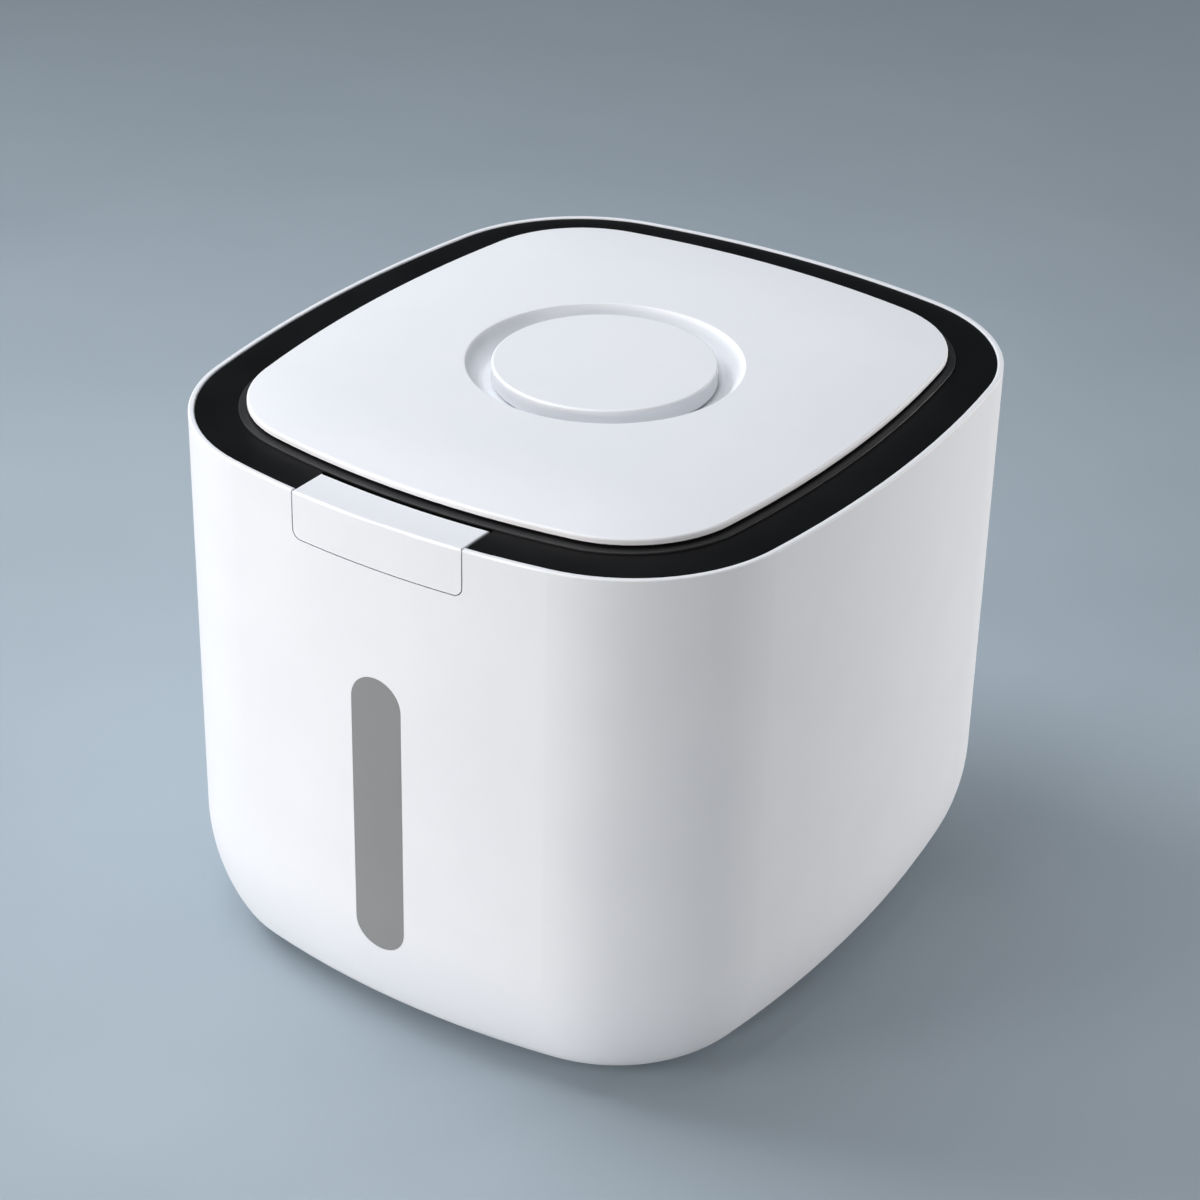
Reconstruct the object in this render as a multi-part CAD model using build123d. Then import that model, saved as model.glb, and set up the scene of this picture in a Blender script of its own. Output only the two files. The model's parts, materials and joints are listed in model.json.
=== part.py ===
"""Rice storage box: a bowed tub with a level window, a collar round its mouth, and a padded lid that
flips up on hidden swan-neck hinges, held by a push latch. A capsule with a twist cap sits in the lid.

Millimetres, +Z up, the front faces -Y, the origin is on the ground under the middle of the tub.
An inset is a distance inwards from the tub's outer face."""

import math
import os

from build123d import *

# Plan of the tub: four bowed sides between rounded corners
WIDTH = 270.0
DEPTH = 298.0
END_BOW = 375.0
FLANK_BOW = 541.0
CORNER = 72.0

# Tub shell
TUB_HEIGHT = 225.5
WALL = 2.5
FLOOR = 3.0
FLOOR_JOIN = 40.0
BASE_INSET = 23.0
BASE_RISE = 49.0
BASE_ROUND = 14.5
RIM_ROUND = 0.8

# Rubber feet
FOOT_STAND = 2.0
FOOT_SINK = 1.0
FOOT_RADIUS = 9.0
FOOT_GAP = 0.2
FOOT_X = 80.0
FOOT_Y = 92.0

# Level window in the front wall
WINDOW_WIDTH = 23.0
WINDOW_HEIGHT = 122.5
WINDOW_LOW = 37.7
WINDOW_GAP = 0.1
WINDOW_LIP = 5.0
FRAME_LIP = 7.0
FRAME_INSET = 5.0
FRAME_BITE = 2.6
GASKET_THICK = 0.8
LENS_THICK = 1.6

# Collar clipped into the tub's mouth
RING_DROP = 0.5
COLLAR_GAP = 0.2
COLLAR_SKIN = 2.5
SKIRT_THICK = 2.0
SKIRT_DEPTH = 14.4
MOUTH_DEPTH = 22.0
LEDGE = 2.6
LEDGE_THICK = 2.4
COLLAR_SEAL = 1.2
BEAD_DROP = 9.0
BEAD_HEIGHT = 1.2
BEAD_BITE = 0.6

# Lid pad and its seal
PAD_INSET = 22.5
PAD_EDGE = 2.2
PAD_ROUND = 1.0
PAD_SKIN = 2.2
PILLOW = 45.0
PILLOW_RISE = 2.8
SEAL_HEIGHT = 0.8
SEAL_LIP = 3.3
SEAL_ROUND = 0.4
SEAL_WIDTH = 4.3
SEAL_MARGIN = 0.2
SEAL_KEY = 0.6
FLANGE_THICK = 1.4
FLANGE_SETBACK = 2.0
PAN_THICK = 2.0
PLUG_GAP = 2.0
PLUG_THICK = 2.0
PLUG_DEPTH = 8.0
PLATE_JOIN = 40.0

# Finger dish and capsule in the middle of the lid
DISH_SLOPE = 6.0
DISH_DEPTH = 8.0
DISH_SKIN = 2.0
DISH_ROUND = 0.8
DISH_HOLLOW = 2.5
PAN_HOLE_GAP = 2.0
FINGER_GAP = 4.6
CAP_GAP = 0.9
CAP_SKIN = 2.0
CAP_ROUND = 0.9
CAP_LIFT = 0.8
BASKET_RADIUS = 35.4
BASKET_WALL = 1.8
BASKET_DEPTH = 28.0
BASKET_GAP = 0.6
FLANGE_REACH = 6.1
BASKET_FLANGE = 1.6
CAPSULE_SEAL = 1.0
SLOT_WIDTH = 3.0
SLOT_HEIGHT = 16.0
SLOT_PAIRS = 6
LUG_COUNT = 3
LUG_SPAN = 30.0
LUG_REACH = 2.0
LUG_THICK = 1.2
LUG_PLAY = 0.3
KEY_WIDTH = 4.0
KEY_REACH = 2.0
KEY_GAP = 0.4

# Swan-neck hinges under the back of the collar
PIN_INSET = 11.0
PIN_DROP = 6.5
PIN_RADIUS = 2.0
PIN_PLAY = 0.05
HINGE_X = 24.0
ARM_WIDTH = 8.0
ARM_THICK = 4.0
ARM_CLEAR = 0.7
ARM_SIDE_GAP = 0.3
ARM_FOOT = 24.0
ARM_FOOT_THICK = 3.0
EYE_RADIUS = 3.5
EAR_THICK = 4.0
EAR_MARGIN = 1.0
NOTCH_GAP = 1.0

# Push latch at the front
TAB_WIDTH = 76.0
TAB_HEIGHT = 19.0
TAB_REACH = 17.2
TAB_CORNER = 3.5
TAB_GAP = 0.5
TAB_TRAVEL = 1.5
TONGUE_WIDTH = 30.0
TONGUE_THICK = 3.0
TONGUE_DROP = 11.0
TONGUE_PLAY = 0.3
EARS_WIDTH = 36.0
EARS_THICK = 2.0
HOOK_THICK = 2.5
HOOK_TOP = 4.0
LEDGE_REACH = 2.0
LEDGE_HEIGHT = 2.0
HOOK_BITE = 1.0
RIB_X = 28.0
RIB_THICK = 4.0
RIB_DEPTH = 9.0
SPRING_THICK = 0.5
SPRING_TOP = 3.4
SPRING_HEIGHT = 5.0
SPRING_SEAT = 0.05
CLIP_WIDTH = 24.0
CLIP_THICK = 1.0
CLIP_GAP = 0.3
CLIP_REACH = 6.0
CLIP_PLAY = 0.4
RIVET_X = 8.0
RIVET_RADIUS = 1.25
RIVET_HEAD = 2.5
RIVET_HEAD_THICK = 1.0
RIVET_DROP = 2.5

# Screws that hold the lid together
SCREW_RADIUS = 1.5
SCREW_PLAY = 0.1
SCREW_HEAD = 3.0
SCREW_HEAD_THICK = 1.6
SCREW_BITE = 1.8
BOSS_RADIUS = 3.5
BOSS_BITE = 0.5
LID_SCREW_X = 60.0
LID_SCREW_Y = 60.0
HINGE_SCREW_FROM_BEND = 7.0
HINGE_SCREW_STEP = 11.0

# Heights
BASE_Z = FOOT_STAND
RIM_Z = BASE_Z + TUB_HEIGHT
RING_Z = RIM_Z - RING_DROP
LEDGE_Z = RIM_Z - RING_DROP - SKIRT_DEPTH - COLLAR_SEAL
FLANGE_Z = RING_Z + SEAL_HEIGHT
PAD_Z = FLANGE_Z + FLANGE_THICK
PAN_Z = PAD_Z - PAN_THICK
CROWN_Z = PAD_Z + PAD_EDGE + PILLOW_RISE
DISH_Z = CROWN_Z - DISH_DEPTH
BASKET_Z = DISH_Z + CAPSULE_SEAL
NECK_Z = CROWN_Z - CAP_SKIN
PIN_Z = RING_Z - PIN_DROP

# Insets and places along the middle plane
MOUTH_INSET = PAD_INSET + SEAL_WIDTH + SEAL_MARGIN
SKIRT_INSET = WALL + COLLAR_GAP
INNER_SKIRT_INSET = MOUTH_INSET - SKIRT_THICK
PLUG_INSET = MOUTH_INSET + PLUG_GAP
CLIP_INSET = PLUG_INSET + PLUG_THICK + CLIP_GAP
HOOK_INSET = CLIP_INSET + CLIP_REACH - HOOK_BITE
NOTCH_INSET = TAB_REACH + TAB_TRAVEL + TAB_GAP
PIN_Y = DEPTH / 2 - PIN_INSET
FAR = DEPTH

# Radii about the middle of the lid, from the basket outwards
FLANGE_RADIUS = BASKET_RADIUS + FLANGE_REACH
CAP_RADIUS = FLANGE_RADIUS + CAP_GAP + CAP_SKIN
DISH_FLOOR_RADIUS = CAP_RADIUS + FINGER_GAP
DISH_RADIUS = DISH_FLOOR_RADIUS + DISH_SLOPE


def corner_hub():
    """Centre of the corner arc that meets the back and the right side smoothly."""
    back = Vector(0, DEPTH / 2 - END_BOW)
    side = Vector(WIDTH / 2 - FLANK_BOW, 0)
    span = side - back
    along = ((END_BOW - CORNER) ** 2 - (FLANK_BOW - CORNER) ** 2 + span.length**2) / (2 * span.length)
    across = math.sqrt((END_BOW - CORNER) ** 2 - along**2)
    ahead = span.normalized()
    return back + ahead * along + Vector(ahead.Y, -ahead.X) * across


def plan_arcs():
    """Centre, radius, start and sweep of the plan's eight arcs, counter-clockwise from the right side."""
    hub = corner_hub()
    side = WIDTH / 2 - FLANK_BOW
    end = DEPTH / 2 - END_BOW
    lean = math.degrees(math.atan2(hub.Y, hub.X - side))
    rise = math.degrees(math.atan2(hub.Y - end, hub.X))
    return [
        (Vector(side, 0), FLANK_BOW, -lean, 2 * lean),
        (Vector(hub.X, hub.Y), CORNER, lean, rise - lean),
        (Vector(0, end), END_BOW, rise, 180 - 2 * rise),
        (Vector(-hub.X, hub.Y), CORNER, 180 - rise, rise - lean),
        (Vector(-side, 0), FLANK_BOW, 180 - lean, 2 * lean),
        (Vector(-hub.X, -hub.Y), CORNER, 180 + lean, rise - lean),
        (Vector(0, -end), END_BOW, 180 + rise, 180 - 2 * rise),
        (Vector(hub.X, -hub.Y), CORNER, 360 - rise, rise - lean),
    ]


PLAN = plan_arcs()


def slab(inset, low, high):
    """Plate with the plan's outline, drawn in by the inset."""
    edges = [CenterArc(hub, radius - inset, start, sweep) for hub, radius, start, sweep in PLAN]
    return extrude(Pos(0, 0, low) * make_face(edges), high - low)


def around(section):
    """Ring with this section all round the plan. In the section X is minus the inset and Y is the height."""
    spans = []
    for hub, radius, start, sweep in PLAN:
        outward = Vector(1, 0, 0).rotate(Axis.Z, start)
        plane = Plane(hub + outward * radius, x_dir=outward, z_dir=outward.cross(Vector(0, 0, 1)))
        spans.append(revolve(plane * section, Axis(hub, (0, 0, 1)), sweep))
    return spans[0] + spans[1:]


def strip(outer, inner, low, high):
    """Rectangle of a ring's section, between two insets and two heights."""
    return Pos(-(outer + inner) / 2, (low + high) / 2) * Rectangle(inner - outer, high - low)


def block(x, y, z):
    """Box between the two ends given along each axis."""
    size = [high - low for low, high in (x, y, z)]
    middle = [(low + high) / 2 for low, high in (x, y, z)]
    return Pos(*middle) * Box(*size)


def drum(radius, low, high, x=0.0, y=0.0):
    """Upright cylinder between two heights."""
    return Pos(x, y, low) * Cylinder(radius, high - low, align=(Align.CENTER, Align.CENTER, Align.MIN))


def front(inset):
    """Place along Y of an inset at the middle of the front."""
    return inset - DEPTH / 2


def front_prism(sketch, outer, inner):
    """Prism through the front wall between two insets. In the sketch Y is the height."""
    return extrude(Plane.XZ.offset(-front(inner)) * sketch, inner - outer)


def corner(face, x, y):
    """Corner of a flat face at a place."""
    return face.vertices().sort_by_distance((x, y))[0]


def foot_arcs(inset, low, radius):
    """Two tangent arcs that draw the wall in, from the floor's height up to the upright part."""
    across = BASE_INSET - inset
    rise = BASE_Z + BASE_RISE - low
    wide = (across**2 + rise**2 - 2 * rise * radius) / (2 * (across - radius))
    dip = math.degrees(math.atan2(rise - radius, wide - across))
    tight_arc = CenterArc((-BASE_INSET, low + radius), radius, 270, 90 - dip)
    wide_arc = CenterArc((-inset - wide, low + rise), wide, -dip, dip)
    return tight_arc, wide_arc


def wall_section():
    """Tub wall with its rounded rim, and the drawn-in foot that runs into the floor."""
    outside = foot_arcs(0, BASE_Z, BASE_ROUND)
    inside = foot_arcs(WALL, BASE_Z + FLOOR, BASE_ROUND - FLOOR)
    rim = Polyline(outside[1] @ 1, (0, RIM_Z), (-WALL, RIM_Z), inside[1] @ 1)
    root = Polyline(inside[0] @ 0, (-FLOOR_JOIN, BASE_Z + FLOOR), (-FLOOR_JOIN, BASE_Z), outside[0] @ 0)
    section = make_face([*outside, *rim.edges(), *inside, *root.edges()])
    return fillet(section.vertices().group_by(Axis.Y)[-1], RIM_ROUND)


def ledge_section():
    """Ledge that carries the collar, and the bead that holds it down."""
    lip = WALL + LEDGE
    bite = WALL / 2
    ledge = Polyline(
        (-bite, LEDGE_Z), (-lip, LEDGE_Z), (-lip, LEDGE_Z - LEDGE_THICK),
        (-bite, LEDGE_Z - LEDGE_THICK - lip + bite), close=True,
    )
    bead_z = RIM_Z - BEAD_DROP
    bead = strip(bite, WALL + BEAD_BITE, bead_z - BEAD_HEIGHT / 2, bead_z + BEAD_HEIGHT / 2)
    return make_face(ledge.edges()) + bead


WALL_RING = around(wall_section())


def window_face(grow):
    """Round-ended outline of the window, grown on all sides."""
    slot = SlotOverall(WINDOW_HEIGHT + 2 * grow, WINDOW_WIDTH + 2 * grow, rotation=90)
    return Pos(0, BASE_Z + WINDOW_LOW + WINDOW_HEIGHT / 2) * slot


def tab_face(gap, above):
    """Front of the latch tab, rounded at its lower corners, grown by a gap and raised past the rim."""
    width = TAB_WIDTH + 2 * gap
    height = TAB_HEIGHT + gap + above
    face = Pos(0, RIM_Z + above - height / 2) * Rectangle(width, height)
    return fillet(face.vertices().group_by(Axis.Y)[0], TAB_CORNER + gap)


def foot_places():
    return [(x, y) for x in (-FOOT_X, FOOT_X) for y in (-FOOT_Y, FOOT_Y)]


def make_tub():
    body = WALL_RING + around(ledge_section()) + slab(FLOOR_JOIN, BASE_Z, BASE_Z + FLOOR)
    body += front_prism(window_face(FRAME_LIP), FRAME_BITE - COLLAR_GAP, FRAME_INSET)
    body -= front_prism(window_face(0), -WALL, FRAME_INSET)
    body -= front_prism(tab_face(TAB_GAP, WALL), -WALL, PAD_INSET)
    for x, y in foot_places():
        body -= drum(FOOT_RADIUS + FOOT_GAP, BASE_Z, BASE_Z + FOOT_SINK, x, y)
    return body


def make_feet():
    return Compound([drum(FOOT_RADIUS, 0, BASE_Z + FOOT_SINK, x, y).solid() for x, y in foot_places()])


def make_window_seal():
    ring = window_face(WINDOW_LIP) - window_face(0)
    return front_prism(ring, FRAME_INSET, FRAME_INSET + GASKET_THICK)


def make_window_lens():
    """Clear strip flush with the wall outside, with a lip that bears on the gasket inside."""
    seat = FRAME_INSET + GASKET_THICK
    skin = WALL_RING & front_prism(window_face(-WINDOW_GAP), -WALL, seat)
    plug = front_prism(window_face(-WINDOW_GAP), FRAME_BITE - COLLAR_GAP, seat)
    return skin + plug + front_prism(window_face(WINDOW_LIP), seat, seat + LENS_THICK)


def make_collar_seal():
    ring = around(strip(SKIRT_INSET, SKIRT_INSET + SKIRT_THICK, LEDGE_Z, LEDGE_Z + COLLAR_SEAL))
    return ring - tab_clearance()


def tab_clearance():
    """Room for the latch tab through the collar, over its whole travel."""
    half = TAB_WIDTH / 2 + TAB_GAP
    return block((-half, half), (-FAR, 0), (LEDGE_Z - FLOOR, FAR)) - slab(NOTCH_INSET, 0, FAR)


def tongue_block(play, outer, inner):
    """Flat tongue of the latch between two insets, grown by a play."""
    half = TONGUE_WIDTH / 2 + play
    top = RING_Z - TONGUE_DROP + play
    return block((-half, half), (front(outer), front(inner)), (top - TONGUE_THICK - 2 * play, top))


def hinge_plate(sketch, x, width):
    """Plate of the given width at one place across the hinge. In the sketch X is Y and Y is the height."""
    return extrude(Plane.YZ.offset(x - width / 2) * sketch, width)


def pin_bore(x, width):
    return hinge_plate(Pos(PIN_Y, PIN_Z) * Circle(PIN_RADIUS + PIN_PLAY), x, width)


def ear_places():
    """Middles of the two ears on either side of each hinge arm."""
    offset = ARM_WIDTH / 2 + ARM_SIDE_GAP + EAR_THICK / 2
    return [x + side * offset for x in (-HINGE_X, HINGE_X) for side in (-1, 1)]


def make_collar():
    skirt = strip(SKIRT_INSET, SKIRT_INSET + SKIRT_THICK, LEDGE_Z + COLLAR_SEAL, RING_Z)
    bead_z = RIM_Z - BEAD_DROP
    groove_half = BEAD_HEIGHT / 2 + COLLAR_GAP
    groove = strip(0, WALL + BEAD_BITE + COLLAR_GAP, bead_z - groove_half, bead_z + groove_half)
    top = strip(SKIRT_INSET, MOUTH_INSET, RING_Z - COLLAR_SKIN, RING_Z)
    inner = strip(INNER_SKIRT_INSET, MOUTH_INSET, RING_Z - MOUTH_DEPTH, RING_Z)
    body = around(skirt - groove + top + inner) - tab_clearance()
    body -= tongue_block(TONGUE_PLAY, INNER_SKIRT_INSET - SKIRT_THICK, MOUTH_INSET + SKIRT_THICK)
    half = ARM_WIDTH / 2 + NOTCH_GAP
    for x in (-HINGE_X, HINGE_X):
        body -= block((x - half, x + half), (0, PIN_Y), (0, RING_Z - COLLAR_SKIN))
    tall = RING_Z - COLLAR_SKIN / 2 - PIN_Z
    round_ear = EYE_RADIUS + EAR_MARGIN
    ear = Pos(PIN_Y, PIN_Z) * (Circle(round_ear) + Pos(0, tall / 2) * Rectangle(2 * round_ear, tall))
    for x in ear_places():
        body += hinge_plate(ear, x, EAR_THICK) - pin_bore(x, EAR_THICK)
    return body


def make_hinge_pins():
    length = ARM_WIDTH + 2 * ARM_SIDE_GAP + 2 * EAR_THICK
    rod = Pos(PIN_Y, PIN_Z) * Circle(PIN_RADIUS)
    return Compound([hinge_plate(rod, x, length).solid() for x in (-HINGE_X, HINGE_X)])


def mouth_edge(x):
    """Place along Y of the mouth's back edge, at a distance from the middle."""
    return DEPTH / 2 - END_BOW + math.sqrt((END_BOW - MOUTH_INSET) ** 2 - x**2)


def bend_radii():
    """Inner and outer radius of the swan neck, which passes round the mouth's edge as the lid turns."""
    outermost = HINGE_X + ARM_WIDTH / 2
    inner = math.hypot(PIN_Y - mouth_edge(outermost), PIN_DROP) + ARM_CLEAR
    return inner, inner + ARM_THICK


def hinge_screw_places():
    _, outer = bend_radii()
    first = PIN_Y - outer - HINGE_SCREW_FROM_BEND
    return [(x, first - step) for x in (-HINGE_X, HINGE_X) for step in (0, HINGE_SCREW_STEP)]


def make_hinge_arm(x):
    """Swan neck from the pin, down and round under the mouth's edge, up to a foot under the lid."""
    inner, outer = bend_radii()
    rise = PAN_Z - PIN_Z
    bend = (Circle(outer) - Circle(inner)) & (Pos(-outer / 2, -outer / 2) * Rectangle(outer, outer))
    upright = Pos(-(inner + outer) / 2, rise / 2) * Rectangle(ARM_THICK, rise)
    foot_length = ARM_THICK + ARM_FOOT
    foot = Pos(-inner - foot_length / 2, rise - ARM_FOOT_THICK / 2) * Rectangle(foot_length, ARM_FOOT_THICK)
    stem = Polyline(
        (-EYE_RADIUS, 0), (0, -inner), (0, -outer), (EYE_RADIUS, -outer), (EYE_RADIUS, 0), close=True
    )
    neck = bend + upright + foot + make_face(stem.edges()) + Circle(EYE_RADIUS)
    body = hinge_plate(Pos(PIN_Y, PIN_Z) * neck, x, ARM_WIDTH) - pin_bore(x, ARM_WIDTH)
    for place_x, place_y in hinge_screw_places():
        body -= drum(SCREW_RADIUS + SCREW_PLAY, 0, FAR, place_x, place_y)
    return body


def tab_shell():
    """Front and top of the latch tab, rounded along the top's edges."""
    top = strip(0, TAB_REACH, RIM_Z - WALL, RIM_Z)
    top = fillet(top.vertices().group_by(Axis.Y)[-1], RIM_ROUND)
    outline = fillet(tab_face(0, 0).vertices().group_by(Axis.Y)[-1], RIM_ROUND)
    skin = WALL_RING & front_prism(outline, -WALL, WALL + COLLAR_GAP)
    return skin + (around(top) & front_prism(outline, -WALL, 2 * TAB_REACH))


def make_latch_button():
    body = tab_shell() + tongue_block(0, WALL - COLLAR_GAP, HOOK_INSET + LEDGE_REACH + HOOK_THICK)
    for x in (-RIB_X, RIB_X):
        side = (x - RIB_THICK / 2, x + RIB_THICK / 2)
        body += block(side, (front(WALL - COLLAR_GAP), front(TAB_REACH)), (RING_Z - RIB_DEPTH, RIM_Z - WALL))
    tongue = (-TONGUE_WIDTH / 2, TONGUE_WIDTH / 2)
    low = RING_Z - TONGUE_DROP - TONGUE_THICK
    stem = (front(HOOK_INSET + LEDGE_REACH), front(HOOK_INSET + LEDGE_REACH + HOOK_THICK))
    body += block(tongue, stem, (low, RING_Z - HOOK_TOP))
    ledge = (front(HOOK_INSET), front(HOOK_INSET + LEDGE_REACH))
    body += block(tongue, ledge, (RING_Z - HOOK_TOP - LEDGE_HEIGHT, RING_Z - HOOK_TOP))
    stop = MOUTH_INSET + 2 * TONGUE_PLAY
    ears = (-EARS_WIDTH / 2, EARS_WIDTH / 2)
    body += block(ears, (front(stop), front(stop + EARS_THICK)), (low, low + TONGUE_THICK))
    return body


def make_latch_spring():
    """Bowed leaf that bears on the collar's inner skirt and pushes the tab's two ribs outwards."""
    bow = INNER_SKIRT_INSET - TAB_REACH - SPRING_THICK - 2 * SPRING_SEAT
    radius = (RIB_X**2 + bow**2) / (2 * bow)
    leaf_middle = Pos(0, front(INNER_SKIRT_INSET - SPRING_SEAT) - radius)
    leaf = leaf_middle * (Circle(radius) - Circle(radius - SPRING_THICK))
    half = RIB_X + RIB_THICK / 2
    low = RING_Z - SPRING_TOP - SPRING_HEIGHT
    swept = extrude(Pos(0, 0, low) * leaf, SPRING_HEIGHT)
    return swept & block((-half, half), (front(TAB_REACH), front(MOUTH_INSET)), (0, FAR))


def make_lid_seal():
    """Flat gasket under the lid's flange, with a lip that shows round the pad and a key that holds it."""
    outer = PAD_INSET - SEAL_LIP
    ring = strip(outer, PAD_INSET + SEAL_WIDTH, RING_Z, FLANGE_Z)
    ring = fillet(corner(ring, -outer, FLANGE_Z), SEAL_ROUND)
    middle = PAD_INSET + SEAL_WIDTH - FLANGE_THICK
    key = strip(middle - SEAL_KEY, middle + SEAL_KEY, FLANGE_Z - SEAL_KEY, FLANGE_Z + SEAL_KEY)
    return around(ring + key)


def make_lid_pan():
    """Underside of the lid: a flange over the seal, a plate, and a plug skirt that enters the mouth."""
    flange = strip(PAD_INSET + FLANGE_SETBACK, PLATE_JOIN, FLANGE_Z, PAD_Z)
    plate = strip(PLUG_INSET, PLATE_JOIN, PAN_Z, PAD_Z)
    plug = strip(PLUG_INSET, PLUG_INSET + PLUG_THICK, RING_Z - PLUG_DEPTH, PAD_Z)
    middle = PAD_INSET + SEAL_WIDTH - FLANGE_THICK
    groove = strip(middle - SEAL_KEY, middle + SEAL_KEY, RING_Z, FLANGE_Z + SEAL_KEY)
    body = around(flange + plate + plug - groove) + slab(PLATE_JOIN, PAN_Z, PAD_Z)
    body -= drum(DISH_RADIUS + DISH_SKIN + PAN_HOLE_GAP, 0, FAR)
    half = ARM_WIDTH / 2 + NOTCH_GAP
    for x in (-HINGE_X, HINGE_X):
        body -= block((x - half, x + half), (PIN_Y / 2, FAR), (0, PAN_Z))
    for x, y in lid_screw_places() + hinge_screw_places():
        body -= drum(SCREW_RADIUS + SCREW_PLAY, 0, FAR, x, y)
    for x in (-RIVET_X, RIVET_X):
        body -= rivet_rod(x, RIVET_RADIUS + SCREW_PLAY, PLUG_INSET - PLUG_GAP, CLIP_INSET)
    return body


def lid_screw_places():
    return [(x, y) for x in (-LID_SCREW_X, LID_SCREW_X) for y in (-LID_SCREW_Y, LID_SCREW_Y)]


def pad_section():
    """Rolled edge of the lid pad, level on its seat and rising to the flat crown."""
    edge = -PAD_INSET
    flat = edge - PILLOW
    seat = -PLUG_INSET
    rim_z = PAD_Z + PAD_EDGE
    radius = (PILLOW**2 + PILLOW_RISE**2) / (2 * PILLOW_RISE)
    roll = CenterArc((flat, CROWN_Z - radius), radius, 90, -math.degrees(math.asin(PILLOW / radius)))
    rest = Polyline(
        (edge, rim_z), (edge, PAD_Z), (seat, PAD_Z), (flat, CROWN_Z - PAD_SKIN), (flat, CROWN_Z)
    )
    section = make_face([roll, *rest.edges()])
    return fillet(corner(section, edge, rim_z), PAD_ROUND)


def profile(*points):
    """Half section of a turned form, from corners given as radius and height."""
    return make_face(Polyline(*points, close=True).edges())


def turned(section):
    return revolve(Plane.XZ * section, Axis.Z)


def dish_section():
    """Room of the finger dish, hollow at its foot and with its edge rounded over."""
    far = DISH_RADIUS + DISH_ROUND
    section = profile(
        (0, DISH_Z), (DISH_FLOOR_RADIUS, DISH_Z), (DISH_RADIUS, CROWN_Z),
        (far, CROWN_Z), (far, CROWN_Z + DISH_ROUND), (0, CROWN_Z + DISH_ROUND),
    )
    section = fillet(corner(section, DISH_FLOOR_RADIUS, DISH_Z), DISH_HOLLOW)
    return fillet(corner(section, DISH_RADIUS, CROWN_Z), DISH_ROUND)


def make_lid_cover():
    body = around(pad_section()) + slab(PAD_INSET + PILLOW, CROWN_Z - PAD_SKIN, CROWN_Z)
    low = DISH_Z - DISH_SKIN
    body += turned(profile(
        (0, low), (DISH_FLOOR_RADIUS + DISH_SKIN, low), (DISH_RADIUS + DISH_SKIN, CROWN_Z - PAD_SKIN / 2),
        (0, CROWN_Z - PAD_SKIN / 2),
    ))
    body -= turned(dish_section())
    body -= drum(BASKET_RADIUS + BASKET_GAP, 0, FAR)
    for turn in lug_turns():
        body -= Rot(0, 0, turn) * key_block(KEY_GAP, 0, DISH_Z)
    for x, y in lid_screw_places() + hinge_screw_places():
        body += drum(BOSS_RADIUS, PAD_Z, CROWN_Z - PAD_SKIN + BOSS_BITE, x, y)
        body -= drum(SCREW_RADIUS + SCREW_PLAY, 0, PAD_Z + SCREW_BITE + SCREW_PLAY, x, y)
    return body


def screws(places, head_top):
    """Pan-head screws that come up from below, with the tops of their heads at one height."""
    made = []
    for x, y in places:
        head = drum(SCREW_HEAD, head_top - SCREW_HEAD_THICK, head_top, x, y)
        made.append((head + drum(SCREW_RADIUS, head_top, PAD_Z + SCREW_BITE, x, y)).solid())
    return Compound(made)


def rivet_rod(x, radius, outer, inner):
    """Round rod through the front of the plug skirt between two insets."""
    return front_prism(Pos(x, RING_Z - RIVET_DROP) * Circle(radius), outer, inner)


def make_catch_clip():
    """Spring clip inside the plug skirt, whose lip catches under the latch's ledge."""
    half = CLIP_WIDTH / 2
    top = RING_Z - HOOK_TOP - LEDGE_HEIGHT - CLIP_PLAY
    body = block((-half, half), (front(CLIP_INSET), front(CLIP_INSET + CLIP_THICK)), (top - CLIP_THICK, PAN_Z))
    body += block((-half, half), (front(CLIP_INSET), front(CLIP_INSET + CLIP_REACH)), (top - CLIP_THICK, top))
    for x in (-RIVET_X, RIVET_X):
        body -= rivet_rod(x, RIVET_RADIUS + SCREW_PLAY, PLUG_INSET, CLIP_INSET + CLIP_REACH)
    return body


def make_clip_rivets():
    made = []
    seat = CLIP_INSET + CLIP_THICK
    for x in (-RIVET_X, RIVET_X):
        rod = rivet_rod(x, RIVET_RADIUS, PLUG_INSET, seat)
        made.append((rod + rivet_rod(x, RIVET_HEAD, seat, seat + RIVET_HEAD_THICK)).solid())
    return Compound(made)


def lug_turns():
    return [turn * 360 / LUG_COUNT for turn in range(LUG_COUNT)]


def key_block(gap, low, high):
    """Rib at +X that keeps the basket from turning in the lid, grown by a gap."""
    half = KEY_WIDTH / 2 + gap
    return block((0, BASKET_RADIUS + KEY_REACH + gap), (-half, half), (low, high))


def lug(inner, outer, low, high):
    """Bayonet lug about +X: a sector of a ring."""
    ring = drum(outer, low, high) - drum(inner, low, high)
    edge = Rot(0, 0, -LUG_SPAN / 2) * Pos(0, outer, 0) * Box(4 * outer, 2 * outer, 2 * FAR)
    other = Rot(0, 0, LUG_SPAN / 2) * Pos(0, -outer, 0) * Box(4 * outer, 2 * outer, 2 * FAR)
    return (ring & edge & other) & block((0, 2 * outer), (-outer, outer), (low, high))


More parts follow.
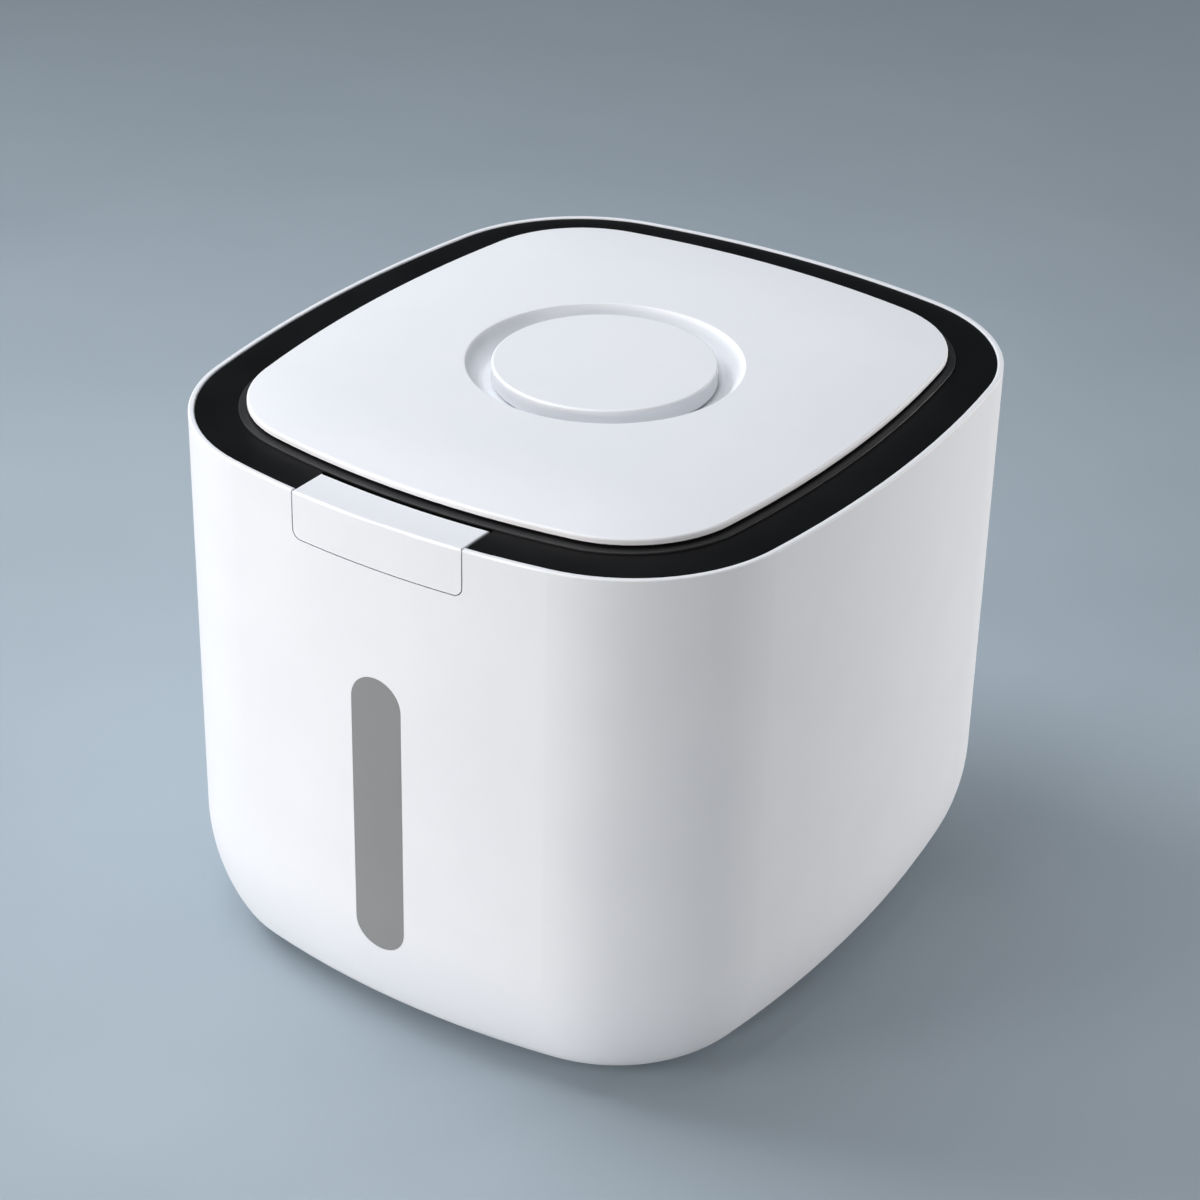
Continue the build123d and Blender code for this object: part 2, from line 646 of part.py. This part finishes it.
def make_capsule_basket():
    """Slotted basket that hangs from its flange, with a neck that carries the cap."""
    floor_z = DISH_Z - BASKET_DEPTH
    body = drum(BASKET_RADIUS, floor_z, NECK_Z) + drum(FLANGE_RADIUS, BASKET_Z, BASKET_Z + BASKET_FLANGE)
    for turn in lug_turns():
        body += Rot(0, 0, turn) * key_block(0, DISH_Z - DISH_SKIN, BASKET_Z)
        reach = BASKET_RADIUS + LUG_REACH
        body += Rot(0, 0, turn) * lug(BASKET_RADIUS - BASKET_WALL, reach, NECK_Z - LUG_THICK, NECK_Z)
    body -= drum(BASKET_RADIUS - BASKET_WALL, floor_z + BASKET_WALL, FAR)
    middle = (floor_z + BASKET_WALL + DISH_Z - DISH_SKIN) / 2
    for pair in range(SLOT_PAIRS):
        slot = Pos(0, 0, middle) * Box(4 * BASKET_RADIUS, SLOT_WIDTH, SLOT_HEIGHT)
        body -= Rot(0, 0, (pair + 0.5) * 180 / SLOT_PAIRS) * slot
    return body


def make_capsule_seal():
    inner = BASKET_RADIUS + KEY_REACH + KEY_GAP
    return drum(FLANGE_RADIUS, DISH_Z, BASKET_Z) - drum(inner, DISH_Z, BASKET_Z)


def make_capsule_cap():
    """Flat knob, hollow below, with a skirt whose lugs hook under those of the basket."""
    low = DISH_Z + CAP_LIFT
    section = profile((0, low), (CAP_RADIUS, low), (CAP_RADIUS, CROWN_Z), (0, CROWN_Z))
    body = turned(fillet(corner(section, CAP_RADIUS, CROWN_Z), CAP_ROUND))
    body -= drum(CAP_RADIUS - CAP_SKIN, DISH_Z, NECK_Z)
    bore = BASKET_RADIUS + LUG_REACH + LUG_PLAY
    low = BASKET_Z + BASKET_FLANGE + LUG_PLAY
    body += drum(bore + CAP_SKIN, low, NECK_Z) - drum(bore, low, NECK_Z)
    top = NECK_Z - LUG_THICK - LUG_PLAY
    for turn in lug_turns():
        body += Rot(0, 0, turn) * lug(BASKET_RADIUS + LUG_PLAY, bore + CAP_SKIN / 2, low, top)
    return body


PARTS = {
    "tub": make_tub(),
    "feet": make_feet(),
    "window_seal": make_window_seal(),
    "window_lens": make_window_lens(),
    "collar_seal": make_collar_seal(),
    "collar": make_collar(),
    "hinge_pins": make_hinge_pins(),
    "latch_button": make_latch_button(),
    "latch_spring": make_latch_spring(),
    "hinge_arm_left": make_hinge_arm(-HINGE_X),
    "hinge_arm_right": make_hinge_arm(HINGE_X),
    "hinge_screws": screws(hinge_screw_places(), PAN_Z - ARM_FOOT_THICK),
    "lid_seal": make_lid_seal(),
    "lid_pan": make_lid_pan(),
    "lid_cover": make_lid_cover(),
    "lid_screws": screws(lid_screw_places(), PAN_Z),
    "catch_clip": make_catch_clip(),
    "clip_rivets": make_clip_rivets(),
    "capsule_basket": make_capsule_basket(),
    "capsule_seal": make_capsule_seal(),
    "capsule_cap": make_capsule_cap(),
}

os.makedirs("parts", exist_ok=True)
for node, shape in PARTS.items():
    export_step(shape, f"parts/{node}.step")
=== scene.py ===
"""Looks of the rice storage box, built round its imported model, in metres.

The front with the latch and the level window faces -Y and +Z is up, as in the model."""

import json
import math

import bpy
from mathutils import Matrix, Vector


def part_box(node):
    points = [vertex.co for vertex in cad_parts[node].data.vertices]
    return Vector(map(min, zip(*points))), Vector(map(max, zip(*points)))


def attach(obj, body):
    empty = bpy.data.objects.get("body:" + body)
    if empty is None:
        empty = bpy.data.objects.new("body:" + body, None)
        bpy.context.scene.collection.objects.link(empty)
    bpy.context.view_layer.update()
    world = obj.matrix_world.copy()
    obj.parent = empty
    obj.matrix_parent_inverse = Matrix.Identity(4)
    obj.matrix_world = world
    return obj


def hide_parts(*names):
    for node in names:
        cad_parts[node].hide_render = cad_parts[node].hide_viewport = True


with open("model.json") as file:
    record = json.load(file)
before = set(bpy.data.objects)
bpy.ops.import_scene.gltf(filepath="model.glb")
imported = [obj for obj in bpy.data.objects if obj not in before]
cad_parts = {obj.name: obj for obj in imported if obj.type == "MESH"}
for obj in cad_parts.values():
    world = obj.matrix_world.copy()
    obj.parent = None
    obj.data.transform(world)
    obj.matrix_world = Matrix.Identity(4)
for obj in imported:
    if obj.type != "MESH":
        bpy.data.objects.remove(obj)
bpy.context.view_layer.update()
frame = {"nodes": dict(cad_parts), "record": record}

# Camera of the photograph: a long lens, to the right of the front and above, angles in radians
CAMERA_AZIMUTH = 0.5809
CAMERA_ELEVATION = 0.5189
CAMERA_ROLL = 0.0229
CAMERA_DISTANCE = 1.2358
CAMERA_TARGET = Vector((-0.0041, 0.0066, 0.122))
CAMERA_LENS = 90.0
CAMERA_SENSOR = 36.0

# Colours, linear, each with the shade that mottles it
SHELL_WHITE = (0.87, 0.88, 0.905, 1)
SHELL_SHADE = (0.845, 0.857, 0.885, 1)
COLLAR_BLACK = (0.0032, 0.0032, 0.0037, 1)
COLLAR_SHADE = (0.0048, 0.0048, 0.0055, 1)
SILICONE_GREY = (0.03, 0.03, 0.031, 1)
SILICONE_SHADE = (0.025, 0.025, 0.026, 1)
WINDOW_SMOKE = (0.27, 0.27, 0.27, 1)
WINDOW_SHADE = (0.258, 0.258, 0.26, 1)
FROST_WHITE = (0.72, 0.75, 0.78, 1)
FROST_SHADE = (0.66, 0.69, 0.73, 1)
RUBBER_BLACK = (0.022, 0.022, 0.022, 1)
RUBBER_SHADE = (0.032, 0.031, 0.03, 1)
STEEL_LIGHT = (0.66, 0.66, 0.67, 1)
STEEL_SHADE = (0.5, 0.5, 0.51, 1)
FLOOR_PALE = (0.41, 0.48, 0.535, 1)
FLOOR_SHADE = (0.392, 0.46, 0.515, 1)

# Middle of a noise's range, which is stretched to the range that a surface needs
NOISE_LOW = 0.35
NOISE_HIGH = 0.65

# Fasteners under the lid
SCREW_HEAD_RADIUS = 0.003
SCREW_HEAD_HEIGHT = 0.0016
SCREW_SHANK_RADIUS = 0.0015
CROSS_LENGTH = 0.0034
CROSS_WIDTH = 0.0008
CROSS_DEPTH = 0.0009
RIVET_HEAD_RADIUS = 0.0025
RIVET_HEAD_HEIGHT = 0.001
RIVET_SHANK_RADIUS = 0.00125

# Fineness of their meshes: points closer than the welds are one, and steeper edges stay sharp
HEAD_SEGMENTS = 32
HEAD_RINGS = 20
SHANK_SEGMENTS = 24
CUT_WELD = 0.000005
POINT_WELD = 0.0001
SHARP_ANGLE = 0.6

# Room: faint light from all round, the backdrop's colour and the share of it that gloss shows,
# the floor's side, and how far from the box the floor starts and ends its fade to the backdrop
ROOM_LIGHT = (0.85, 0.92, 1.0, 1)
ROOM_LEVEL = 0.025
BACKDROP = (0.2, 0.235, 0.265, 1)
GLOSS_SHARE = 0.25
FLOOR_SIDE = 24
FADE_START = 0.8
FADE_END = 2.4

# Lamps: the point that they face, the tints of the high and the low ones, and for each its
# place, the side of its square, the angle of its grid in degrees, its watts and its tint
LAMP_AIM = Vector((0, 0, 0.13))
COOL = (0.93, 0.96, 1.0)
WARM = (1.0, 0.957, 0.93)
LAMPS = (
    ("left_key", (-1.3, -1.9, 0.85), 0.9, 80, 3.5, WARM),
    ("high_key", (-1.2, -0.2, 1.3), 0.8, 120, 6.7, COOL),
    ("front_fill", (-0.25, -2.5, 0.38), 0.75, 45, 2.3, WARM),
    ("right_fill", (2.1, 1.2, 0.22), 0.4, 60, 2.4, WARM),
    ("back_fill", (1.2, 2.1, 0.25), 0.45, 60, 2.6, WARM),
    ("overhead", (-0.3, 0.05, 1.7), 1.1, 120, 6.1, COOL),
)


def camera_axes():
    """Right, up and back of the photograph's camera, with its slight roll."""
    right = Vector((math.cos(CAMERA_AZIMUTH), math.sin(CAMERA_AZIMUTH), 0))
    level = math.cos(CAMERA_ELEVATION)
    back = Vector((
        math.sin(CAMERA_AZIMUTH) * level,
        -math.cos(CAMERA_AZIMUTH) * level,
        math.sin(CAMERA_ELEVATION),
    ))
    up = back.cross(right)
    c, s = math.cos(CAMERA_ROLL), math.sin(CAMERA_ROLL)
    return c * right + s * up, c * up - s * right, back


def make_camera():
    data = bpy.data.cameras.new("photo_camera")
    data.sensor_width = CAMERA_SENSOR
    data.lens = CAMERA_LENS
    camera = bpy.data.objects.new("photo_camera", data)
    right, up, back = camera_axes()
    turn = Matrix((right, up, back)).transposed().to_4x4()
    camera.matrix_world = Matrix.Translation(CAMERA_TARGET + back * CAMERA_DISTANCE) @ turn
    bpy.context.scene.collection.objects.link(camera)
    bpy.context.scene.camera = camera


def feed(tree, socket, value):
    """Links an output to an input socket, or sets a plain value on it."""
    if isinstance(value, bpy.types.NodeSocket):
        tree.links.new(value, socket)
    else:
        socket.default_value = value


def add(tree, kind, **inputs):
    """Node of a kind with its inputs fed by name, spaces written as underscores."""
    node = tree.nodes.new(kind)
    for name, value in inputs.items():
        feed(tree, node.inputs[name.replace("_", " ")], value)
    return node


def sums(tree, operation, *values):
    """Number worked out from outputs and plain numbers."""
    node = tree.nodes.new("ShaderNodeMath")
    node.operation = operation
    for socket, value in zip(node.inputs, values):
        feed(tree, socket, value)
    return node.outputs[0]


def vector_of(tree, x, y, z):
    return add(tree, "ShaderNodeCombineXYZ", X=x, Y=y, Z=z).outputs[0]


def give_sockets(tree, side, sockets):
    """Named sockets on the INPUT or the OUTPUT side of a group, each with its kind."""
    for name, kind in sockets:
        tree.interface.new_socket(name, in_out=side, socket_type="NodeSocket" + kind)


def spread(tree, value, low, high):
    """Stretches the middle of a noise to a range of its own."""
    return add(
        tree, "ShaderNodeMapRange", Value=value, From_Min=NOISE_LOW, From_Max=NOISE_HIGH,
        To_Min=low, To_Max=high,
    ).outputs["Result"]


def blend_colours(tree, factor, first, second):
    node = tree.nodes.new("ShaderNodeMix")
    node.data_type = "RGBA"
    for name, value in (("Factor", factor), ("A", first), ("B", second)):
        feed(tree, node.inputs[name], value)
    return node.outputs["Result"]


def moulded_skin():
    """Shader group of a moulded surface: fine grain, a slow mottle of its colour, uneven gloss."""
    group = bpy.data.node_groups.new("moulded_skin", "ShaderNodeTree")
    give_sockets(group, "INPUT", (
        ("Colour", "Color"), ("Shade", "Color"), ("Stretch", "Vector"), ("Grain Scale", "Float"),
        ("Mottle Scale", "Float"), ("Least Roughness", "Float"), ("Most Roughness", "Float"),
    ))
    give_sockets(group, "OUTPUT", (
        ("Colour", "Color"), ("Roughness", "Float"), ("Height", "Float"),
    ))
    given = group.nodes.new("NodeGroupInput").outputs
    result = group.nodes.new("NodeGroupOutput").inputs
    place = group.nodes.new("ShaderNodeTexCoord").outputs["Object"]
    stretched = group.nodes.new("ShaderNodeVectorMath")
    stretched.operation = "MULTIPLY"
    feed(group, stretched.inputs[0], place)
    feed(group, stretched.inputs[1], given["Stretch"])
    grain = add(
        group, "ShaderNodeTexNoise", Vector=stretched.outputs[0], Scale=given["Grain Scale"],
        Detail=3.0, Roughness=0.6,
    ).outputs[0]
    mottle = add(
        group, "ShaderNodeTexNoise", Vector=place, Scale=given["Mottle Scale"],
        Detail=2.0, Roughness=0.5,
    ).outputs[0]
    both = sums(group, "MULTIPLY_ADD", grain, 0.5, sums(group, "MULTIPLY", mottle, 0.5))
    gloss = spread(group, both, given["Least Roughness"], given["Most Roughness"])
    tint = blend_colours(group, spread(group, mottle, 0.0, 1.0), given["Colour"], given["Shade"])
    feed(group, result["Colour"], tint)
    feed(group, result["Roughness"], gloss)
    feed(group, result["Height"], grain)
    return group


MOULDED_SKIN = moulded_skin()


def surface(name, colour, shade, gloss, grain, mottle, relief, stretch=(1, 1, 1), **plain):
    """Material on the moulded skin.

    Gloss is the range of roughness, grain and mottle are in features per metre, relief is the
    depth of the grain, and what is plain is set on the shader's own sockets."""
    material = bpy.data.materials.new(name)
    material.use_nodes = True
    tree = material.node_tree
    skin = tree.nodes.new("ShaderNodeGroup")
    skin.node_tree = MOULDED_SKIN
    for socket, value in (
        ("Colour", colour), ("Shade", shade), ("Stretch", stretch), ("Grain Scale", grain),
        ("Mottle Scale", mottle), ("Least Roughness", gloss[0]), ("Most Roughness", gloss[1]),
    ):
        skin.inputs[socket].default_value = value
    bump = add(
        tree, "ShaderNodeBump", Height=skin.outputs["Height"], Strength=1.0, Distance=relief
    )
    shader = tree.nodes["Principled BSDF"].inputs
    for socket, value in plain.items():
        shader[socket.replace("_", " ")].default_value = value
    feed(tree, shader["Base Color"], skin.outputs["Colour"])
    feed(tree, shader["Roughness"], skin.outputs["Roughness"])
    feed(tree, shader["Normal"], bump.outputs["Normal"])
    return material


# Look of each slot of the record
LOOKS = {
    "white_shell": dict(
        colour=SHELL_WHITE, shade=SHELL_SHADE, gloss=(0.42, 0.52),
        grain=1600.0, mottle=22.0, relief=0.00001, Specular_IOR_Level=0.35,
    ),
    "black_gloss": dict(
        colour=COLLAR_BLACK, shade=COLLAR_SHADE, gloss=(0.36, 0.44),
        grain=900.0, mottle=30.0, relief=0.000003, Specular_IOR_Level=0.12,
    ),
    "grey_silicone": dict(
        colour=SILICONE_GREY, shade=SILICONE_SHADE, gloss=(0.34, 0.44),
        grain=2600.0, mottle=60.0, relief=0.000006, Specular_IOR_Level=0.25,
    ),
    "smoke_window": dict(
        colour=WINDOW_SMOKE, shade=WINDOW_SHADE, gloss=(0.38, 0.5),
        grain=2200.0, mottle=35.0, relief=0.000008,
    ),
    "frosted_basket": dict(
        colour=FROST_WHITE, shade=FROST_SHADE, gloss=(0.45, 0.62),
        grain=1900.0, mottle=50.0, relief=0.00002,
    ),
    "foot_rubber": dict(
        colour=RUBBER_BLACK, shade=RUBBER_SHADE, gloss=(0.6, 0.8),
        grain=1400.0, mottle=120.0, relief=0.00004,
    ),
    "spring_steel": dict(
        colour=STEEL_LIGHT, shade=STEEL_SHADE, gloss=(0.2, 0.36),
        grain=260.0, mottle=90.0, relief=0.000008, stretch=(1, 12, 12), Metallic=1.0,
    ),
}
FINISH = {slot: surface(slot, **look) for slot, look in LOOKS.items()}


def pan_head(tree, radius, height):
    """Head that hangs below zero: steep sides that round over to a nearly flat face."""
    ball = add(
        tree, "GeometryNodeMeshUVSphere", Segments=HEAD_SEGMENTS, Rings=HEAD_RINGS, Radius=1.0
    )
    spot = tree.nodes.new("GeometryNodeInputPosition").outputs[0]
    x, y, z = add(tree, "ShaderNodeSeparateXYZ", Vector=spot).outputs
    across = sums(tree, "ADD", sums(tree, "POWER", x, 2), sums(tree, "POWER", y, 2))
    left = sums(tree, "SUBTRACT", 1, sums(tree, "POWER", across, 2))
    fall = sums(tree, "SQRT", sums(tree, "MAXIMUM", left, 0))
    below = sums(tree, "LESS_THAN", z, 0)
    depth = sums(tree, "MULTIPLY", height, -1)
    place = vector_of(
        tree, sums(tree, "MULTIPLY", x, radius), sums(tree, "MULTIPLY", y, radius),
        sums(tree, "MULTIPLY", sums(tree, "MULTIPLY", fall, below), depth),
    )
    return add(
        tree, "GeometryNodeSetPosition", Geometry=ball.outputs["Mesh"], Position=place
    ).outputs["Geometry"]


def cut_cross(tree, head, height, length, width, depth):
    """Cross recess for a driver, cut into the face of a head."""
    cut = tree.nodes.new("GeometryNodeMeshBoolean")
    cut.operation = "DIFFERENCE"
    cut.solver = "EXACT"
    feed(tree, cut.inputs["Mesh 1"], head)
    tall = sums(tree, "MULTIPLY", depth, 2)
    low = vector_of(tree, 0, 0, sums(tree, "MULTIPLY", height, -1))
    for size in (vector_of(tree, length, width, tall), vector_of(tree, width, length, tall)):
        bar = add(tree, "GeometryNodeMeshCube", Size=size)
        moved = add(
            tree, "GeometryNodeTransform", Geometry=bar.outputs["Mesh"], Translation=low
        )
        feed(tree, cut.inputs["Mesh 2"], moved.outputs["Geometry"])
    return add(
        tree, "GeometryNodeMergeByDistance", Geometry=cut.outputs["Mesh"], Distance=CUT_WELD
    ).outputs["Geometry"]


def fastener(tree, given, recessed):
    """One fastener: its head below zero and its shank above."""
    head = pan_head(tree, given["Head Radius"], given["Head Height"])
    if recessed:
        head = cut_cross(
            tree, head, given["Head Height"],
            given["Recess Length"], given["Recess Width"], given["Recess Depth"],
        )
    rod = add(
        tree, "GeometryNodeMeshCylinder", Vertices=SHANK_SEGMENTS,
        Radius=given["Shank Radius"], Depth=given["Shank Length"],
    )
    half = sums(tree, "MULTIPLY", given["Shank Length"], 0.5)
    shank = add(
        tree, "GeometryNodeTransform", Geometry=rod.outputs["Mesh"],
        Translation=vector_of(tree, 0, 0, half),
    )
    joined = tree.nodes.new("GeometryNodeJoinGeometry")
    feed(tree, joined.inputs["Geometry"], shank.outputs["Geometry"])
    feed(tree, joined.inputs["Geometry"], head)
    return joined.outputs["Geometry"]


def grid_of_points(tree, given):
    """Corners of a rectangle, or its two ends where it has no depth."""
    grid = add(
        tree, "GeometryNodeMeshGrid", Size_X=given["Spacing X"], Size_Y=given["Spacing Y"],
        Vertices_X=2, Vertices_Y=2,
    )
    single = add(
        tree, "GeometryNodeMergeByDistance", Geometry=grid.outputs["Mesh"], Distance=POINT_WELD
    )
    return add(
        tree, "GeometryNodeTransform", Geometry=single.outputs["Geometry"],
        Translation=given["Middle"],
    ).outputs["Geometry"]


def fastener_tree(name, recessed):
    """Geometry tree of a grid of fasteners, each tipped over as asked and turned at random."""
    tree = bpy.data.node_groups.new(name, "GeometryNodeTree")
    give_sockets(tree, "INPUT", (
        ("Middle", "Vector"), ("Spacing X", "Float"), ("Spacing Y", "Float"),
        ("Tip Over", "Float"), ("Head Radius", "Float"), ("Head Height", "Float"),
        ("Shank Radius", "Float"), ("Shank Length", "Float"),
        ("Turn Seed", "Int"), ("Finish", "Material"),
    ))
    if recessed:
        give_sockets(tree, "INPUT", (
            ("Recess Length", "Float"), ("Recess Width", "Float"), ("Recess Depth", "Float"),
        ))
    give_sockets(tree, "OUTPUT", (("Geometry", "Geometry"),))
    given = tree.nodes.new("NodeGroupInput").outputs
    planted = add(
        tree, "GeometryNodeInstanceOnPoints", Points=grid_of_points(tree, given),
        Instance=fastener(tree, given, recessed),
    )
    tipped = add(
        tree, "GeometryNodeRotateInstances", Instances=planted.outputs["Instances"],
        Rotation=vector_of(tree, given["Tip Over"], 0, 0),
    )
    turn = add(
        tree, "FunctionNodeRandomValue", Max=math.pi / 2, Seed=given["Turn Seed"]
    ).outputs[1]
    turned = add(
        tree, "GeometryNodeRotateInstances", Instances=tipped.outputs["Instances"],
        Rotation=vector_of(tree, 0, 0, turn),
    )
    plain = add(tree, "GeometryNodeRealizeInstances", Geometry=turned.outputs["Instances"])
    angle = tree.nodes.new("GeometryNodeInputMeshEdgeAngle").outputs[0]
    smooth = add(
        tree, "GeometryNodeSetShadeSmooth", Geometry=plain.outputs["Geometry"],
        Shade_Smooth=sums(tree, "LESS_THAN", angle, SHARP_ANGLE),
    )
    smooth.domain = "EDGE"
    coated = add(
        tree, "GeometryNodeSetMaterial", Geometry=smooth.outputs["Geometry"],
        Material=given["Finish"],
    )
    end = tree.nodes.new("NodeGroupOutput")
    feed(tree, end.inputs["Geometry"], coated.outputs["Geometry"])
    return tree


SCREW_TREE = fastener_tree("pan_head_screws", True)
RIVET_TREE = fastener_tree("domed_rivets", False)


def plant_fasteners(name, tree, node, body, sizes):
    """Set of steel fasteners in place of a CAD node, grown by a tree and kept as a plain mesh."""
    piece = bpy.data.objects.new(name, bpy.data.meshes.new(name))
    bpy.context.scene.collection.objects.link(piece)
    grow = piece.modifiers.new("grow", "NODES")
    grow.node_group = tree
    sizes = {**sizes, "Finish": FINISH["spring_steel"]}
    for item in tree.interface.items_tree:
        if item.in_out == "INPUT":
            grow[item.identifier] = sizes[item.name]
    grown = piece.evaluated_get(bpy.context.evaluated_depsgraph_get())
    mesh = bpy.data.meshes.new_from_object(grown)
    piece.modifiers.remove(grow)
    piece.data = mesh
    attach(piece, body)
    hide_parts(node)


def make_screws(name, node, seed):
    """Four pan-head screws that come up from below, where the node's stand."""
    low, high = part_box(node)
    seat = low[2] + SCREW_HEAD_HEIGHT
    plant_fasteners(name, SCREW_TREE, node, "lid", {
        "Middle": ((low[0] + high[0]) / 2, (low[1] + high[1]) / 2, seat),
        "Spacing X": high[0] - low[0] - 2 * SCREW_HEAD_RADIUS,
        "Spacing Y": high[1] - low[1] - 2 * SCREW_HEAD_RADIUS,
        "Tip Over": 0.0,
        "Head Radius": SCREW_HEAD_RADIUS,
        "Head Height": SCREW_HEAD_HEIGHT,
        "Shank Radius": SCREW_SHANK_RADIUS,
        "Shank Length": high[2] - seat,
        "Recess Length": CROSS_LENGTH,
        "Recess Width": CROSS_WIDTH,
        "Recess Depth": CROSS_DEPTH,
        "Turn Seed": seed,
    })


def make_rivets(name, node, seed):
    """Two rivets through the front of the plug that hold the catch clip, heads inside."""
    low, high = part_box(node)
    seat = high[1] - RIVET_HEAD_HEIGHT
    plant_fasteners(name, RIVET_TREE, node, "lid", {
        "Middle": ((low[0] + high[0]) / 2, seat, (low[2] + high[2]) / 2),
        "Spacing X": high[0] - low[0] - 2 * RIVET_HEAD_RADIUS,
        "Spacing Y": 0.0,
        "Tip Over": math.pi / 2,
        "Head Radius": RIVET_HEAD_RADIUS,
        "Head Height": RIVET_HEAD_HEIGHT,
        "Shank Radius": RIVET_SHANK_RADIUS,
        "Shank Length": seat - low[1],
        "Turn Seed": seed,
    })


def dress_nodes():
    """Gives every node of the frame the finish of its slot in the record."""
    for part in frame["record"]["subparts"]:
        mesh = frame["nodes"][part["node"]].data
        mesh.materials.clear()
        mesh.materials.append(FINISH[part["material_slot"]])


def make_floor():
    """Pale paper floor that the camera sees fade into the backdrop far from the box."""
    bpy.ops.mesh.primitive_plane_add(size=FLOOR_SIDE)
    floor = bpy.context.object
    floor.name = "floor"
    paper = surface(
        "floor_paper", colour=FLOOR_PALE, shade=FLOOR_SHADE, gloss=(0.7, 0.85),
        grain=900.0, mottle=6.0, relief=0.00002,
        Specular_IOR_Level=0.15, Emission_Color=BACKDROP,
    )
    tree = paper.node_tree
    away = tree.nodes.new("ShaderNodeVectorMath")
    away.operation = "LENGTH"
    feed(tree, away.inputs[0], tree.nodes.new("ShaderNodeTexCoord").outputs["Object"])
    fade = add(
        tree, "ShaderNodeMapRange", Value=away.outputs["Value"],
        From_Min=FADE_START, From_Max=FADE_END,
    )
    camera_ray = tree.nodes.new("ShaderNodeLightPath").outputs["Is Camera Ray"]
    seen = sums(tree, "MULTIPLY", fade.outputs["Result"], camera_ray)
    feed(tree, tree.nodes["Principled BSDF"].inputs["Emission Strength"], seen)
    floor.data.materials.append(paper)


def make_backdrop():
    """Faint light from all round, and a pale backdrop past the floor.

    The camera and any clear piece show the backdrop in full, gloss shows a share of it."""
    world = bpy.data.worlds.new("studio")
    world.use_nodes = True
    tree = world.node_tree
    faint = tree.nodes["Background"]
    faint.inputs["Color"].default_value = ROOM_LIGHT
    faint.inputs["Strength"].default_value = ROOM_LEVEL
    pale = add(tree, "ShaderNodeBackground", Color=BACKDROP, Strength=1.0)
    ray = tree.nodes.new("ShaderNodeLightPath").outputs
    seen = sums(tree, "ADD", ray["Is Camera Ray"], ray["Is Transmission Ray"])
    seen = sums(tree, "MULTIPLY_ADD", ray["Is Glossy Ray"], GLOSS_SHARE, seen)
    mix = add(tree, "ShaderNodeMixShader", Fac=seen)
    feed(tree, mix.inputs[1], faint.outputs["Background"])
    feed(tree, mix.inputs[2], pale.outputs["Background"])
    feed(tree, tree.nodes["World Output"].inputs["Surface"], mix.outputs["Shader"])
    bpy.context.scene.world = world


def make_lamp(name, place, side, grid, power, tint):
    """Square soft box that faces the box, with a grid that narrows the spread of its light."""
    data = bpy.data.lights.new(name, "AREA")
    data.size = side
    data.spread = math.radians(grid)
    data.energy = power
    data.color = tint
    lamp = bpy.data.objects.new(name, data)
    lamp.location = place
    lamp.rotation_euler = (Vector(place) - LAMP_AIM).to_track_quat("Z", "Y").to_euler()
    bpy.context.scene.collection.objects.link(lamp)


bpy.context.scene.view_settings.view_transform = "Standard"
make_camera()
make_floor()
make_backdrop()
for lamp in LAMPS:
    make_lamp(*lamp)
dress_nodes()
make_screws("lid_screw_heads", "lid_screws", 1)
make_screws("hinge_screw_heads", "hinge_screws", 2)
make_rivets("clip_rivet_heads", "clip_rivets", 3)
